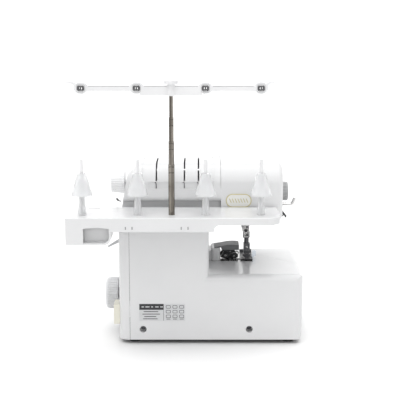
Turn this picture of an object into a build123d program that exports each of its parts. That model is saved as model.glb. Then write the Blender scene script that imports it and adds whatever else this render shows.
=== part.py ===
from build123d import *
import os

# Home overlock machine (serger) with a four-spool thread stand behind it.
# Row frame, millimetres: sewing front towards -Y, spool stand towards +Y, handwheel towards +X,
# +Z up. The origin is on the floor, under the middle of the machine's overall box.

os.makedirs("parts", exist_ok=True)

# ---------------------------------------------------------------- driving dimensions
WALL = 2.5            # moulded cover wall
SEAM = 0.5            # gap between two covers
RUN = 0.5             # clearance between parts that move past each other
FIT = 0.06            # radial clearance of a shaft in its bore

BODY_RIGHT = 111.0    # outer face of the belt cover
BODY_REAR = 71.0      # outer face of the rear cover
BODY_BOTTOM = 7.0     # lower edge of the covers
BED_FRONT = -123.0
BED_END = -185.0      # free end of the bed
BED_TOP = 112.0
BED_TAPER = 9.0       # how far the bed's end leans in at its foot
BED_FLARE = 5.5       # how much shorter the bed is at the rear than at the front
COLUMN_LEFT = -31.0
COLUMN_FRONT = -108.0
LEDGE_TOP = 211.0     # rear step of the column, under the spool tray
LEDGE_FRONT = 41.8
ARM_BOTTOM = 178.0
ARM_TOP = 283.0
ARM_REAR = 41.0
ARM_RECESS = 30.0     # set-back wall below the rear lip of the arm
RISE_Y = 4.0          # where the arm's underside starts to rise towards the rear
RISE_Z = 13.0         # how far it has risen at the arm's rear face
LIP_BOTTOM = 224.0
HEAD_END = -148.0
HEAD_START = -50.0    # where the smooth head cover meets the slotted top cover
CORNER = 15.0         # vertical corners of bed and column

SIDE_SEAM = 93.8      # belt cover to rear cover
MID_SEAM = -20.0      # rear cover to front cover
ARM_SEAM = -40.0      # rear half to front half of the arm
WINDOW_LEFT = -104.0  # sewing area, where the needle plate lies
WINDOW_RIGHT = -36.0
WINDOW_REAR = -22.0
WINDOW_FRONT = -83.0

TRAY_TOP = 216.0
TRAY_LEFT = 184.6
TRAY_RIGHT = -138.0
TRAY_REAR = 131.5
TRAY_FRONT = 43.5
TRAY_SKIRT = 195.0    # lower edge of the deep part of the skirt
TRAY_THIN = 205.5     # lower edge of the shallow part, over the sewing space
POCKET_FLOOR = 175.0
POCKET_RIGHT = 116.6
POCKET_END = 116.0    # inner wall at the pocket's end

STAND_Y = 104.0       # row of spool pins and pole
POLE_X = 26.0
SPOOL_X = [POLE_X + s for s in (-135.5, -51.5, 51.5, 135.5)]
PIN_RADIUS = 2.5
PIN_TOP = 301.0
PIN_STEP = 280.6      # where the pin's full diameter starts, above the cone holder
POLE_RADII = [4.7, 4.1, 3.5, 2.9]
POLE_TOPS = [293.0, 328.0, 364.0, 411.0]
POLE_WALL = 0.5
BAR_Z = 407.5

SHAFT_Y, SHAFT_Z = -12.0, 61.0        # main shaft and handwheel
ARM_SHAFT_Y, ARM_SHAFT_Z = -30.0, 212.0
MOTOR_Y, MOTOR_Z = 24.0, 142.0
NEEDLE_X, NEEDLE_Y = -94.5, -49.0
PRESSER_Y = -32.0
NEEDLE_TIP = 121.0
NEEDLE_PITCH = 2.6
SLOT_X = [18.6 + 22.1 * s for s in (-1.5, -0.5, 0.5, 1.5)]
SLOT_WIDTH = 2.4
DIAL_Y, DIAL_Z, DIAL_RADIUS, DIAL_WIDTH = -88.0, 236.0, 18.0, 9.0


# ---------------------------------------------------------------- helpers
def block(x0, x1, y0, y1, z0, z1, mode=Mode.ADD):
    """A box between two corners, in the part being built."""
    with Locations(((x0 + x1) / 2, (y0 + y1) / 2, (z0 + z1) / 2)):
        return Box(x1 - x0, y1 - y0, z1 - z0, mode=mode)


def rod_x(x0, x1, y, z, radius, mode=Mode.ADD):
    """A cylinder along X."""
    with Locations(Location((x0, y, z), (0, 90, 0))):
        return Cylinder(radius, x1 - x0, align=(Align.CENTER, Align.CENTER, Align.MIN), mode=mode)


def rod_y(x, y0, y1, z, radius, mode=Mode.ADD):
    """A cylinder along Y."""
    with Locations(Location((x, y0, z), (-90, 0, 0))):
        return Cylinder(radius, y1 - y0, align=(Align.CENTER, Align.CENTER, Align.MIN), mode=mode)


def rod_z(x, y, z0, z1, radius, mode=Mode.ADD):
    """A cylinder along Z."""
    with Locations((x, y, z0)):
        return Cylinder(radius, z1 - z0, align=(Align.CENTER, Align.CENTER, Align.MIN), mode=mode)


def at_y(y):
    """Plane whose sketch axes are X and Z, placed at y; it extrudes towards -Y."""
    return Plane.XZ.offset(-y)


def at_x(x):
    """Plane whose sketch axes are Y and Z, placed at x; it extrudes towards +X."""
    return Plane.YZ.offset(x)


def save(builder, name):
    """Labels a finished piece and writes its STEP file."""
    builder.part.label = name
    export_step(builder.part, f"parts/{name}.step")


# ---------------------------------------------------------------- outer forms
def bed_form(inset):
    """The bed and lower body. An inset gives the cavity inside a wall of that thickness, open below."""
    foot = BED_END + BED_TAPER
    with BuildPart() as form:
        with BuildSketch(at_y(BODY_REAR - inset)):
            with BuildLine():
                Polyline((BODY_RIGHT, BODY_BOTTOM), (BODY_RIGHT, BED_TOP), (BED_END, BED_TOP),
                         (BED_END, BED_TOP - 22))
                ThreePointArc((BED_END, BED_TOP - 22), (BED_END + 2.4, 42), (foot, BODY_BOTTOM))
                Line((foot, BODY_BOTTOM), (BODY_RIGHT, BODY_BOTTOM))
            outline = make_face()
            fillet(outline.vertices().sort_by(Axis.Y)[-2:].sort_by(Axis.X)[0], 14)
            if inset:
                offset(amount=-inset)
                with Locations(((foot + BODY_RIGHT) / 2, BODY_BOTTOM)):
                    Rectangle(BODY_RIGHT - foot - 2 * inset, 2 * inset + 2)
        extrude(amount=BODY_REAR - BED_FRONT - 2 * inset)
        with BuildSketch():
            # the free end flares a little towards the front
            Polygon((BED_END + inset, BED_FRONT + inset), (BODY_RIGHT - inset, BED_FRONT + inset),
                    (BODY_RIGHT - inset, BODY_REAR - inset), (BED_END + BED_FLARE + inset, BODY_REAR - inset),
                    align=None)
            fillet(vertices(), CORNER - inset)
        extrude(amount=BED_TOP + 10, both=True, mode=Mode.INTERSECT)
        with BuildSketch(at_x(BED_END - 1)):
            with Locations(((BED_FRONT + BODY_REAR) / 2, (BED_TOP - 40) / 2)):
                Rectangle(BODY_REAR - BED_FRONT - 2 * inset, BED_TOP + 40 - 2 * inset)
            fillet(vertices().group_by(Axis.Z)[-1], 11 - inset)
        extrude(amount=BODY_RIGHT - BED_END + 2, mode=Mode.INTERSECT)
    return form.part


def column_form(inset):
    """The column, with its low rear step. An inset gives its cavity, open below and into the arm."""
    bottom = BODY_BOTTOM - inset
    with BuildPart() as form:
        with BuildSketch(Plane.XY.offset(bottom)):
            with Locations(((COLUMN_LEFT + BODY_RIGHT) / 2, (COLUMN_FRONT + BODY_REAR) / 2)):
                Rectangle(BODY_RIGHT - COLUMN_LEFT - 2 * inset, BODY_REAR - COLUMN_FRONT - 2 * inset)
            fillet(vertices().group_by(Axis.X)[0], 10 - inset)
            fillet(vertices().group_by(Axis.X)[-1], CORNER - inset)
        extrude(amount=LEDGE_TOP - inset - bottom)
        block(COLUMN_LEFT - 1, BODY_RIGHT + 1, COLUMN_FRONT - 1, LEDGE_FRONT + inset,
              ARM_BOTTOM - inset, LEDGE_TOP + 1, mode=Mode.SUBTRACT)
        if inset:
            block(COLUMN_LEFT + inset, BODY_RIGHT - inset, COLUMN_FRONT + inset, RISE_Y - inset,
                  ARM_BOTTOM - 8, ARM_BOTTOM + inset + 1)
    return form.part


def arm_profile(inset, rear_corner):
    """Cross-section of the arm in Y and Z: sloped front, round top, down the rear, and a rising underside."""
    Polygon((COLUMN_FRONT, ARM_BOTTOM), (COLUMN_FRONT, 226), (-82, ARM_TOP), (ARM_REAR, ARM_TOP),
            *rear_corner, (RISE_Y, ARM_BOTTOM), align=None)
    rounding = [(COLUMN_FRONT, 226, 30), (-82, ARM_TOP, 18), (ARM_REAR, ARM_TOP, 34)]
    for y, z, radius in rounding + [(*rear_corner[0], 8)]:
        corner = vertices().sort_by_distance(Vertex(*(Plane.YZ.to_local_coords(Vector(0, y, z)))))[0]
        fillet(corner, radius)
    if inset:
        offset(amount=-inset)


def arm_form(inset):
    """The slotted middle of the arm, with its sloped and rounded shoulder at the handwheel end."""
    start = HEAD_START - (10 if inset else 0)
    with BuildPart() as form:
        with BuildSketch(at_x(start)):
            rise = RISE_Z * (ARM_RECESS - RISE_Y) / (ARM_REAR - RISE_Y)
            arm_profile(inset, [(ARM_REAR, LIP_BOTTOM), (ARM_RECESS, LIP_BOTTOM),
                                (ARM_RECESS, ARM_BOTTOM + rise)])
        extrude(amount=BODY_RIGHT - start)
        with BuildSketch(at_y(ARM_REAR + 1)):
            low = ARM_BOTTOM - 10
            Polygon((start - 10, low), (BODY_RIGHT, low), (BODY_RIGHT, ARM_BOTTOM + 14), (97, 268),
                    (80, ARM_TOP), (start - 10, ARM_TOP), align=None)
            for x, z, radius in ((BODY_RIGHT, ARM_BOTTOM + 14, 30), (97, 268, 14), (80, ARM_TOP, 11)):
                corner = vertices().sort_by_distance(Vertex(x, z, 0))[0]
                fillet(corner, radius)
            if inset:
                offset(amount=-inset)
        extrude(amount=ARM_REAR - COLUMN_FRONT + 2, mode=Mode.INTERSECT)
    return form.part


def head_form(inset):
    """The smooth head over the needles, with a rounded outer end."""
    with BuildPart() as form:
        with BuildSketch(at_x(HEAD_END + inset)):
            arm_profile(inset, [(ARM_REAR, ARM_BOTTOM + RISE_Z)])
        extrude(amount=HEAD_START - HEAD_END - 2 * inset)
        # the outer end leans in towards its foot
        with BuildSketch(at_y(ARM_REAR + 1)):
            Polygon((HEAD_START, ARM_BOTTOM), (HEAD_START, ARM_TOP), (HEAD_END, ARM_TOP), (HEAD_END, 204),
                    (HEAD_END + 12, ARM_BOTTOM), align=None)
            if inset:
                offset(amount=-inset)
                with Locations((HEAD_START, (ARM_BOTTOM + ARM_TOP) / 2)):
                    Rectangle(4 * inset, ARM_TOP - ARM_BOTTOM - 2 * inset)
        extrude(amount=ARM_REAR - COLUMN_FRONT + 2, mode=Mode.INTERSECT)
        fillet(form.faces().sort_by(Axis.X)[0].edges(), 7 - inset)
    return form.part


# ---------------------------------------------------------------- covers cut from one shell
with BuildPart() as shell:
    add(bed_form(0))
    add(column_form(0))
    add(arm_form(0))
    add(head_form(0))
    for hollow in (bed_form, column_form, arm_form, head_form):
        add(hollow(WALL), mode=Mode.SUBTRACT)
    # opening under the head for the needle bar, the presser bar and the upper knife drive
    block(-114, -72, -64, -16, ARM_BOTTOM - 1, ARM_BOTTOM + WALL + 1, mode=Mode.SUBTRACT)
    # needle plate window in the bed top
    block(WINDOW_LEFT, WINDOW_RIGHT, WINDOW_FRONT, WINDOW_REAR, BED_TOP - WALL - 1, BED_TOP + 1,
          mode=Mode.SUBTRACT)

HALF = SEAM / 2
DOOR_LEFT, DOOR_RIGHT, DOOR_SILL = WINDOW_LEFT, SIDE_SEAM, 12.0
LOWER_TOP = ARM_BOTTOM - 0.25         # the lower covers stop just under the arm
SHELF = BED_TOP - 14                  # height where the top panels of the bed are cut off
DIAGONAL = ((WINDOW_LEFT, -75.0), (-112.0, -71.0), (BED_END - 5, 7.0))


def rear_plan(gap):
    """Plan of the rear cover's share of the bed top, which runs forward along a diagonal seam."""
    Polygon((BED_END - 5, BODY_REAR + 5), (SIDE_SEAM - gap, BODY_REAR + 5), (SIDE_SEAM - gap, MID_SEAM + gap),
            (WINDOW_RIGHT, MID_SEAM + gap), (WINDOW_RIGHT, WINDOW_REAR), (WINDOW_LEFT, WINDOW_REAR),
            (DIAGONAL[0][0], DIAGONAL[0][1] + gap), (DIAGONAL[1][0], DIAGONAL[1][1] + gap),
            (DIAGONAL[2][0], DIAGONAL[2][1] + gap), align=None)


with BuildPart() as rear_region:
    with BuildSketch(Plane.XY.offset(SHELF)):
        rear_plan(HALF)
    extrude(amount=LOWER_TOP - SHELF)
    block(BED_END - 5, SIDE_SEAM - HALF, MID_SEAM + HALF, BODY_REAR + 5, 0, SHELF)
    block(COLUMN_LEFT - 5, SIDE_SEAM - HALF, LEDGE_FRONT - 0.1, BODY_REAR + 5, SHELF, LEDGE_TOP + 2)
SCREW_X = [73.0, -95.0]
SCREW_Z = 24.0
with BuildPart() as rear_cover:
    add(shell.part)
    add(rear_region.part, mode=Mode.INTERSECT)
    for x in SCREW_X:
        # sunk screw tube down to the frame's lug
        rod_y(x, 56, BODY_REAR - 1, SCREW_Z, 7.5)
        rod_y(x, 58.5, BODY_REAR + 1, SCREW_Z, 5.5, mode=Mode.SUBTRACT)
        rod_y(x, 55, 59, SCREW_Z, 2.2, mode=Mode.SUBTRACT)
save(rear_cover, "rear_cover")

with BuildPart() as belt_region:
    block(SIDE_SEAM + HALF, BODY_RIGHT + 5, BED_FRONT - 5, BODY_REAR + 5, 0, LOWER_TOP)
    block(SIDE_SEAM + HALF, BODY_RIGHT + 5, LEDGE_FRONT - 0.1, BODY_REAR + 5, 0, LEDGE_TOP + 2)
with BuildPart() as belt_cover:
    add(shell.part)
    add(belt_region.part, mode=Mode.INTERSECT)
    rod_x(BODY_RIGHT - 5, BODY_RIGHT + 5, SHAFT_Y, SHAFT_Z, 10.5, mode=Mode.SUBTRACT)
    block(BODY_RIGHT - 5, BODY_RIGHT + 5, 29.5, 60.5, 28.5, 62, mode=Mode.SUBTRACT)
    block(BODY_RIGHT - 5, BODY_RIGHT + 5, 27.5, 33.5, 138, 170, mode=Mode.SUBTRACT)
    for y in (23.5, 35.4):
        block(97.5, BODY_RIGHT - 1, y, y + 3.1, 156.5, 165.5)
    rod_y(101, 20, 42, 161, 2 + FIT, mode=Mode.SUBTRACT)
save(belt_cover, "belt_cover")

with BuildPart() as door_region:
    block(DOOR_LEFT + HALF, DOOR_RIGHT - HALF, BED_FRONT - 5, COLUMN_FRONT - 0.6, DOOR_SILL + HALF, BED_TOP + 5)
    block(DOOR_LEFT + HALF, WINDOW_RIGHT - HALF, BED_FRONT - 5, WINDOW_FRONT - 0.5, BED_TOP - 4, BED_TOP + 5)

HINGE_Y, HINGE_Z = -119.6, 14.6       # looper door hinge rod, along X
LUG_X = (-60.0, 40.0)

with BuildPart() as front_region:
    block(BED_END - 5, SIDE_SEAM - HALF, BED_FRONT - 5, MID_SEAM - HALF, 0, SHELF)
    block(WINDOW_RIGHT + 0.4, SIDE_SEAM - HALF, BED_FRONT - 5, MID_SEAM - HALF, SHELF - 1, LOWER_TOP)
    block(DOOR_LEFT - HALF, DOOR_RIGHT + HALF, BED_FRONT - 6, COLUMN_FRONT - 0.1, HINGE_Z - 4.4,
          BED_TOP + 6, mode=Mode.SUBTRACT)
with BuildPart() as knife_tower:
    with BuildSketch(Plane.XY.offset(BED_TOP + 0.1)):
        with Locations((-43, -48)):
            RectangleRounded(15, 44, 5)
    extrude(amount=20.4)
    fillet(faces().sort_by(Axis.Z)[-1].edges(), 3)
with BuildPart() as front_cover:
    add(shell.part)
    add(front_region.part, mode=Mode.INTERSECT)
    # wall behind the looper door, beside the column, and the sill that carries it
    block(WINDOW_RIGHT + 0.4, SIDE_SEAM - HALF, COLUMN_FRONT, COLUMN_FRONT + WALL, BODY_BOTTOM, BED_TOP)
    block(DOOR_LEFT - 8, SIDE_SEAM - HALF, BED_FRONT + 1, COLUMN_FRONT + WALL, BODY_BOTTOM, BODY_BOTTOM + WALL)
    for x in LUG_X:
        block(x - 4, x + 4, HINGE_Y - 0.8, HINGE_Y + 5, BODY_BOTTOM, HINGE_Z + 2.6)
    rod_x(DOOR_LEFT, DOOR_RIGHT, HINGE_Y, HINGE_Z, 1.5, mode=Mode.SUBTRACT)
    # bridge from the column's side to the knife drive's tower
    add(knife_tower.part)
    block(-39, COLUMN_LEFT + 1, -66, -30, BED_TOP + 0.1, BED_TOP + 16.5)
save(front_cover, "front_cover")

with BuildPart() as cloth_plate:
    add(shell.part)
    with BuildSketch(Plane.XY.offset(SHELF + HALF)):
        Polygon((WINDOW_LEFT - HALF, BED_FRONT - 5), (WINDOW_LEFT - HALF, DIAGONAL[0][1] - HALF),
                (DIAGONAL[1][0], DIAGONAL[1][1] - HALF), (DIAGONAL[2][0], DIAGONAL[2][1] - HALF),
                (BED_END - 5, BED_FRONT - 5), align=None)
    extrude(amount=20, mode=Mode.INTERSECT)
save(cloth_plate, "cloth_plate")

PULL_DEPTH = 131.5 + BED_FRONT
with BuildPart() as looper_cover:
    add(shell.part)
    add(door_region.part, mode=Mode.INTERSECT)
    # moulded pull at the top right, and hinge eyes at the foot
    with BuildSketch(at_y(BED_FRONT + WALL / 2)):
        with Locations((52, 84)):
            RectangleRounded(46, 13, 5)
    extrude(amount=PULL_DEPTH + WALL / 2)
    fillet(faces().sort_by(Axis.Y)[0].edges(), 3)
    for x in (-92, -8, 82):
        block(x - 5, x + 5, BED_FRONT + 1, HINGE_Y + 2.8, DOOR_SILL + HALF, HINGE_Z + 2.8)
    for x in LUG_X:
        block(x - 4.6, x + 4.6, BED_FRONT - 1, HINGE_Y + 8, DOOR_SILL - 1, HINGE_Z + 4.6, mode=Mode.SUBTRACT)
    rod_x(DOOR_LEFT, DOOR_RIGHT, HINGE_Y, HINGE_Z, 1.5 + FIT, mode=Mode.SUBTRACT)
save(looper_cover, "looper_cover")

with BuildPart() as cover_hinge_rod:
    rod_x(-102, 91, HINGE_Y, HINGE_Z, 1.5)
save(cover_hinge_rod, "cover_hinge_rod")

with BuildPart() as bands:
    for x in (73.4, -37.8):
        block(x - 0.5, x + 0.5, ARM_SEAM, ARM_REAR + 5, 240, ARM_TOP + 5)
with BuildPart() as seam_rings:
    # shallow grooves that frame the slotted panel on top of the arm
    add(arm_form(0))
    add(arm_form(1.0), mode=Mode.SUBTRACT)
    add(bands.part, mode=Mode.INTERSECT)

with BuildPart() as head_region:
    # the head cover's seam runs straight down the back, then sweeps round under the badge
    with BuildSketch(at_y(ARM_REAR + 5)):
        with Locations(((HEAD_START + HEAD_END - 5) / 2, (ARM_TOP + 5 + 178) / 2)):
            Rectangle(HEAD_START - HEAD_END + 5, ARM_TOP + 5 - 178)
    extrude(amount=ARM_REAR - COLUMN_FRONT + 10)
    with BuildSketch(at_y(ARM_REAR + 5)):
        with BuildLine():
            Line((HEAD_START, 247), (HEAD_START, 205))
            Line((HEAD_START, 205), (HEAD_START - 33, 205))
            ThreePointArc((HEAD_START - 33, 205), (HEAD_START - 9, 222), (HEAD_START, 247))
        make_face()
    extrude(amount=ARM_REAR - ARM_RECESS + 5.1, mode=Mode.SUBTRACT)

with BuildPart() as head_cover:
    add(shell.part)
    add(head_region.part, mode=Mode.INTERSECT)
    rod_x(HEAD_END - 2, HEAD_END + 5, -40, 227, 5.4, mode=Mode.SUBTRACT)
    rod_x(HEAD_END - 2, HEAD_END + 5, -20, 209, 3.0, mode=Mode.SUBTRACT)
save(head_cover, "head_cover")

with BuildPart() as top_region:
    block(HEAD_START - 40, BODY_RIGHT + 5, ARM_SEAM + HALF, LEDGE_FRONT - 0.4, ARM_BOTTOM, ARM_TOP + 5)
    add(head_region.part, mode=Mode.SUBTRACT)
    block(HEAD_START, HEAD_START + SEAM, -120, 60, 246, ARM_TOP + 5, mode=Mode.SUBTRACT)
    block(HEAD_START - 60, HEAD_START + SEAM, -120, 30.2, 170, ARM_TOP + 5, mode=Mode.SUBTRACT)
with BuildPart() as top_cover:
    add(shell.part)
    add(top_region.part, mode=Mode.INTERSECT)
    add(seam_rings.part, mode=Mode.SUBTRACT)
    # thread slots over the top, and the long groove across the back
    for x in SLOT_X:
        block(x - SLOT_WIDTH / 2, x + SLOT_WIDTH / 2, ARM_SEAM + 3, ARM_REAR + 2, 257, ARM_TOP + 2,
              mode=Mode.SUBTRACT)
    block(-26, 65, ARM_REAR - 1.5, ARM_REAR + 2, 245.5, 255.5, mode=Mode.SUBTRACT)
save(top_cover, "top_cover")

with BuildPart() as arm_front_cover:
    add(shell.part)
    block(HEAD_START + SEAM, BODY_RIGHT + 5, COLUMN_FRONT - 5, ARM_SEAM - HALF, ARM_BOTTOM, ARM_TOP + 5,
          mode=Mode.INTERSECT)
    for x in SLOT_X:
        block(x - DIAL_WIDTH / 2 - RUN, x + DIAL_WIDTH / 2 + RUN, COLUMN_FRONT - 5, -80, DIAL_Z - 20, DIAL_Z + 20,
              mode=Mode.SUBTRACT)
    rod_x(60, BODY_RIGHT + 5, -56, 240, 4.6, mode=Mode.SUBTRACT)
save(arm_front_cover, "arm_front_cover")

# ---------------------------------------------------------------- underside and frame
PAN_Y = -19.0
FOOT_X, FOOT_Y = 122.0, 70.0
with BuildPart() as base_pan:
    with BuildSketch(Plane.XY.offset(3)):
        with Locations((-35, PAN_Y)):
            RectangleRounded(272, 162, 12)
    extrude(amount=10)
    with BuildSketch(Plane.XY.offset(5.5)):
        with Locations((-35, PAN_Y)):
            RectangleRounded(267, 157, 9.5)
    extrude(amount=10, mode=Mode.SUBTRACT)
    with Locations((-35, PAN_Y, 3)):
        with GridLocations(2 * FOOT_X, 2 * FOOT_Y, 2, 2):
            Cylinder(4, 12, mode=Mode.SUBTRACT)
save(base_pan, "base_pan")

with BuildPart() as rubber_feet:
    with BuildSketch():
        with Locations((-35, PAN_Y)):
            with GridLocations(2 * FOOT_X, 2 * FOOT_Y, 2, 2):
                Circle(9.5)
    extrude(amount=3)
    fillet(edges().group_by(Axis.Z)[0], 1)
    with BuildSketch(Plane.XY.offset(3)):
        with Locations((-35, PAN_Y)):
            with GridLocations(2 * FOOT_X, 2 * FOOT_Y, 2, 2):
                Circle(4)
    extrude(amount=2.5)
save(rubber_feet, "rubber_feet")

RIB_X = [(-26.0, -18.0), (68.0, 76.0)]
with BuildPart() as frame:
    # cast base plate with bearing walls up through the column and an arm beam to the head block
    block(-158, 90, -96, 54, 5.5, 11.5)
    for x0, x1 in RIB_X:
        with BuildSketch(at_x(x0)):
            Polygon((-62, 5.5), (16, 5.5), (16, 164), (-1, 173), (-1, 232), (-52, 232), (-52, 180), (-62, 172),
                    align=None)
        extrude(amount=x1 - x0)
    block(-26, 76, -20, 0, 184, 196)
    block(-112, -18, -62, 0, 184, 193)
    block(-112, -18, -10, 0, 193, 215)
    block(-112, -85, -62, -10, 193, 200)
    block(-112, -85, -62, -10, 238, 250)
    block(-112, -85, -14, -10, 193, 250)
    block(-112, -106, -24, -13, 200, 216)
    # bearing post at the bed's free end, and posts under the needle plate
    block(-118, -110, -30, 6, 11, 76)
    for x in (-100, -41):
        block(x - 3, x + 3, -25.5, -22.6, 11, BED_TOP - 2.1)
        block(x - 3, x + 3, -82, -77, 11, BED_TOP - 2.1)
    # lugs for the looper shafts, the knife bracket and the feed guide
    block(-133, -119, -66, -57, 11, 60)
    block(-59, -45, -62, -53, 11, 52)
    block(-78, -68, -66, -57, 11, 84)
    for x in SCREW_X:
        block(x - 8, x + 8, 46, 56, 11, 32)
    # bores
    rod_y(-126, -67, -55, 52, 3.5 + FIT, mode=Mode.SUBTRACT)
    rod_y(-52, -63, -52, 44, 3.5 + FIT, mode=Mode.SUBTRACT)
    rod_x(-120, 78, SHAFT_Y, SHAFT_Z, 7, mode=Mode.SUBTRACT)
    rod_x(-30, 80, ARM_SHAFT_Y, ARM_SHAFT_Z, 7, mode=Mode.SUBTRACT)
    rod_z(NEEDLE_X, NEEDLE_Y, 180, 255, 3.2 + FIT, mode=Mode.SUBTRACT)
    rod_z(NEEDLE_X, PRESSER_Y, 180, 255, 3.5 + FIT, mode=Mode.SUBTRACT)
    rod_x(-114, -103, -20, 209, 2.4 + FIT, mode=Mode.SUBTRACT)
    for x in SCREW_X:
        rod_y(x, 44, 57, SCREW_Z, 1.6, mode=Mode.SUBTRACT)
save(frame, "frame")

with BuildPart() as bushings:
    for x0, x1 in RIB_X + [(-118.0, -110.0)]:
        rod_x(x0, x1, SHAFT_Y, SHAFT_Z, 7)
    for x0, x1 in RIB_X:
        rod_x(x0, x1, ARM_SHAFT_Y, ARM_SHAFT_Z, 7)
    rod_x(-120, 90, SHAFT_Y, SHAFT_Z, 4 + FIT, mode=Mode.SUBTRACT)
    rod_x(-30, 90, ARM_SHAFT_Y, ARM_SHAFT_Z, 4 + FIT, mode=Mode.SUBTRACT)
save(bushings, "bushings")

# ---------------------------------------------------------------- drive
with BuildPart() as main_shaft:
    rod_x(-120, 128, SHAFT_Y, SHAFT_Z, 4)
    for x in (-91, -58, -33):
        # eccentric cams for feed, loopers and knife
        with Locations(Location((x, SHAFT_Y + 2.5, SHAFT_Z), (0, 90, 0))):
            Cylinder(9, 7)
save(main_shaft, "main_shaft")


def toothed_pulley(x0, x1, y, z, radius, bore):
    """A belt pulley along X with two thin flanges."""
    rod_x(x0, x1, y, z, radius)
    rod_x(x0, x0 + 0.8, y, z, radius + 1.5)
    rod_x(x1 - 0.8, x1, y, z, radius + 1.5)
    rod_x(x0 - 1, x1 + 1, y, z, bore, mode=Mode.SUBTRACT)


with BuildPart() as shaft_pulleys:
    toothed_pulley(79, 88.6, SHAFT_Y, SHAFT_Z, 24, 4)
    toothed_pulley(92, 101.6, SHAFT_Y, SHAFT_Z, 12, 4)
save(shaft_pulleys, "shaft_pulleys")


def belt_loop(x0, x1, first, second):
    """A flat belt round two pulleys, each given as (y, z, radius), standing just off them."""
    for grow, mode in ((1.9, Mode.ADD), (0.4, Mode.SUBTRACT)):
        with BuildSketch(at_x(x0)) as outline:
            for y, z, radius in (first, second):
                with Locations((y, z)):
                    Circle(radius + grow)
            make_hull()
        extrude(outline.sketch, amount=x1 - x0, mode=mode)


with BuildPart() as drive_belts:
    belt_loop(80.4, 87.2, (SHAFT_Y, SHAFT_Z, 24), (MOTOR_Y, MOTOR_Z, 8))
    belt_loop(93.4, 100.2, (SHAFT_Y, SHAFT_Z, 12), (ARM_SHAFT_Y, ARM_SHAFT_Z, 12))
save(drive_belts, "drive_belts")

with BuildPart() as handwheel:
    # finger-ribbed rim with a soft outer edge, a shallow face recess and a hub through the cover
    rod_x(117, 138, SHAFT_Y, SHAFT_Z, 26)
    fillet(edges().filter_by(GeomType.CIRCLE).sort_by(Axis.X)[-1], 6)
    fillet(edges().filter_by(GeomType.CIRCLE).sort_by(Axis.X)[0], 1)
    with Locations(Location((119, SHAFT_Y, SHAFT_Z), (0, 90, 0))):
        with PolarLocations(27, 30):
            Cylinder(1.7, 11, align=(Align.CENTER, Align.CENTER, Align.MIN), mode=Mode.SUBTRACT)
    rod_x(136.6, 140, SHAFT_Y, SHAFT_Z, 15, mode=Mode.SUBTRACT)
    rod_x(104, 118, SHAFT_Y, SHAFT_Z, 9.5)
    rod_x(100, 128, SHAFT_Y, SHAFT_Z, 4, mode=Mode.SUBTRACT)
save(handwheel, "handwheel")

with BuildPart() as motor_body:
    rod_x(-12, 58, MOTOR_Y, MOTOR_Z, 26)
    fillet(edges().filter_by(GeomType.CIRCLE), 3)
    rod_x(58, 63, MOTOR_Y, MOTOR_Z, 9)
    rod_x(-4, 50, MOTOR_Y, MOTOR_Z, 20, mode=Mode.SUBTRACT)
    rod_x(-8, 64, MOTOR_Y, MOTOR_Z, 3 + FIT, mode=Mode.SUBTRACT)
save(motor_body, "motor_body")

with BuildPart() as motor_rotor:
    toothed_pulley(79, 88.6, MOTOR_Y, MOTOR_Z, 8, 2)
    rod_x(-8, 89, MOTOR_Y, MOTOR_Z, 3)
    rod_x(2, 44, MOTOR_Y, MOTOR_Z, 18.5)
save(motor_rotor, "motor_rotor")

with BuildPart() as motor_bracket:
    block(58, 61, -6, 52, 112, 172)
    block(58, 68, -6, 16, 112, 117)
    block(58, 68, -6, 16, 166, 171)
    rod_x(56, 64, MOTOR_Y, MOTOR_Z, 9, mode=Mode.SUBTRACT)
save(motor_bracket, "motor_bracket")

with BuildPart() as arm_shaft:
    toothed_pulley(92, 101.6, ARM_SHAFT_Y, ARM_SHAFT_Z, 12, 2)
    rod_x(-78, 103, ARM_SHAFT_Y, ARM_SHAFT_Z, 4)
    rod_x(-78, -72, ARM_SHAFT_Y, ARM_SHAFT_Z, 15)
    rod_x(-82, -78, ARM_SHAFT_Y - 11, ARM_SHAFT_Z, 2.5)
save(arm_shaft, "arm_shaft")

# ---------------------------------------------------------------- needles, presser foot, knives, loopers
CLAMP_Z = 146.0
with BuildPart() as needle_bar:
    rod_z(NEEDLE_X, NEEDLE_Y, CLAMP_Z + 2, 268, 3.2)
    chamfer(edges().sort_by(Axis.Z)[-1], 0.8)
    block(NEEDLE_X - 4.6, NEEDLE_X + 9.5, NEEDLE_Y - 5, NEEDLE_Y + 5, 228.6, 236.6)
save(needle_bar, "needle_bar")

with BuildPart() as needle_clamp:
    block(NEEDLE_X - 5.5, NEEDLE_X + 5.5, NEEDLE_Y - 5.5, NEEDLE_Y + 5.5, CLAMP_Z, CLAMP_Z + 11)
    chamfer(edges().group_by(Axis.Z)[0], 1.5)
    for side in (-1, 1):
        rod_z(NEEDLE_X + side * NEEDLE_PITCH, NEEDLE_Y, CLAMP_Z - 1, CLAMP_Z + 2, 1.0, mode=Mode.SUBTRACT)
        rod_y(NEEDLE_X + side * 3.0, NEEDLE_Y - 9.5, NEEDLE_Y - 5.5, CLAMP_Z + 5, 1.6)
    rod_z(NEEDLE_X, NEEDLE_Y, CLAMP_Z + 2, CLAMP_Z + 20, 3.2, mode=Mode.SUBTRACT)
save(needle_clamp, "needle_clamp")

with BuildPart() as needles:
    for side in (-1, 1):
        rod_z(NEEDLE_X + side * NEEDLE_PITCH, NEEDLE_Y, NEEDLE_TIP + 6, CLAMP_Z - 8, 0.5)
        rod_z(NEEDLE_X + side * NEEDLE_PITCH, NEEDLE_Y, CLAMP_Z - 8, CLAMP_Z + 2, 1.0)
        with Locations((NEEDLE_X + side * NEEDLE_PITCH, NEEDLE_Y, NEEDLE_TIP)):
            Cone(0.08, 0.5, 6, align=(Align.CENTER, Align.CENTER, Align.MIN))
save(needles, "needles")

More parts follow.
